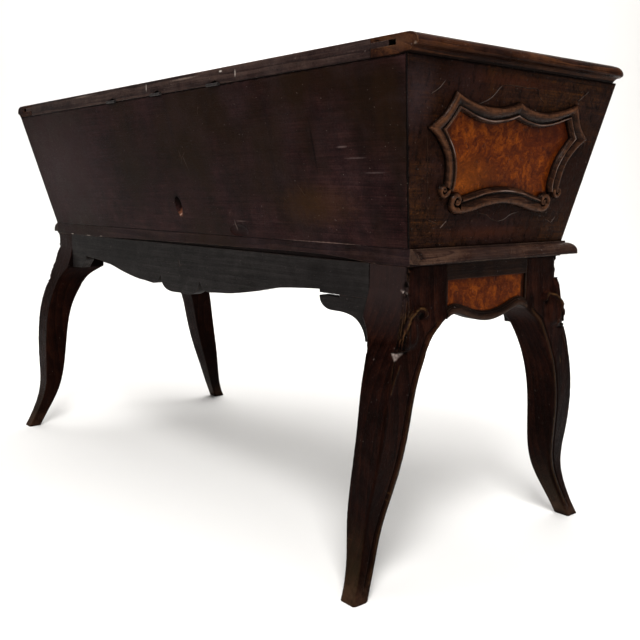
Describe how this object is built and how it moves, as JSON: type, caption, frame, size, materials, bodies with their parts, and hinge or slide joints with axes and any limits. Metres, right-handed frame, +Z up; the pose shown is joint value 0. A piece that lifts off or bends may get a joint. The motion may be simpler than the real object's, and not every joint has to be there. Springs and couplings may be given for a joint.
{
  "type": "dough box",
  "caption": "Antique walnut dough box: a flared trough with a flat hinged lid and carved, burr-panelled frames, on a stand with curved splayed legs and scalloped aprons.",
  "frame": {"origin": "on the floor, below the middle of the overall length and depth, which is the middle of the four feet", "axes": "+X along the length, to the right seen from the front; +Y from the front to the plain back; +Z up"},
  "size_m": [1.468, 0.606, 0.85],
  "materials": {
    "stand_walnut": "dark stained and waxed, worn",
    "trough_walnut": "dark stained and waxed, worn",
    "carved_walnut": "dark stained and waxed, worn on the high spots",
    "lid_walnut": "dark stained and waxed, scratched",
    "burr_walnut": "waxed burr veneer",
    "bottom_boards": "unfinished inside, stained edge",
    "iron": "old rusted iron"
  },
  "bodies": {
    "trough_on_stand": {"apron_back": "stand_walnut", "apron_burr_front": "burr_walnut", "apron_burr_left": "burr_walnut", "apron_burr_right": "burr_walnut", "apron_front": "stand_walnut", "apron_left": "stand_walnut", "apron_right": "stand_walnut", "back_board": "trough_walnut", "base_moulding_front": "trough_walnut", "base_moulding_left": "trough_walnut", "base_moulding_right": "trough_walnut", "batten_nails": "iron", "ear_back_left": "stand_walnut", "ear_back_right": "stand_walnut", "ear_front_left": "stand_walnut", "ear_front_right": "stand_walnut", "end_board_left": "trough_walnut", "end_board_right": "trough_walnut", "end_burr_panel_left": "burr_walnut", "end_burr_panel_right": "burr_walnut", "end_frame_left": "carved_walnut", "end_frame_right": "carved_walnut", "end_scroll_left": "carved_walnut", "end_scroll_right": "carved_walnut", "floor_batten_left": "bottom_boards", "floor_batten_right": "bottom_boards", "floor_nails": "iron", "floor_plank_back": "bottom_boards", "floor_plank_front": "bottom_boards", "front_burr_panel_left": "burr_walnut", "front_burr_panel_right": "burr_walnut", "front_frame_left": "carved_walnut", "front_frame_right": "carved_walnut", "front_plank_lower": "trough_walnut", "front_plank_upper": "trough_walnut", "front_scroll_left": "carved_walnut", "front_scroll_right": "carved_walnut", "hinge_leaves_lower": "iron", "hinge_pins": "iron", "hinge_screws_lower": "iron", "leg_back_left": "stand_walnut", "leg_back_right": "stand_walnut", "leg_front_left": "stand_walnut", "leg_front_right": "stand_walnut"},
    "lid": {"hinge_leaves_upper": "iron", "hinge_screws_upper": "iron", "lid_cleat_left": "lid_walnut", "lid_cleat_right": "lid_walnut", "lid_plank_back": "lid_walnut", "lid_plank_front": "lid_walnut", "lid_plank_middle": "lid_walnut"}
  },
  "joints": [
    {"name": "lid_hinge", "type": "hinge", "parent": "trough_on_stand", "child": "lid", "pos_m": [0, 0.2612, 0.822], "axis": [-1, 0, 0], "range_deg": [0, 100]}
  ]
}
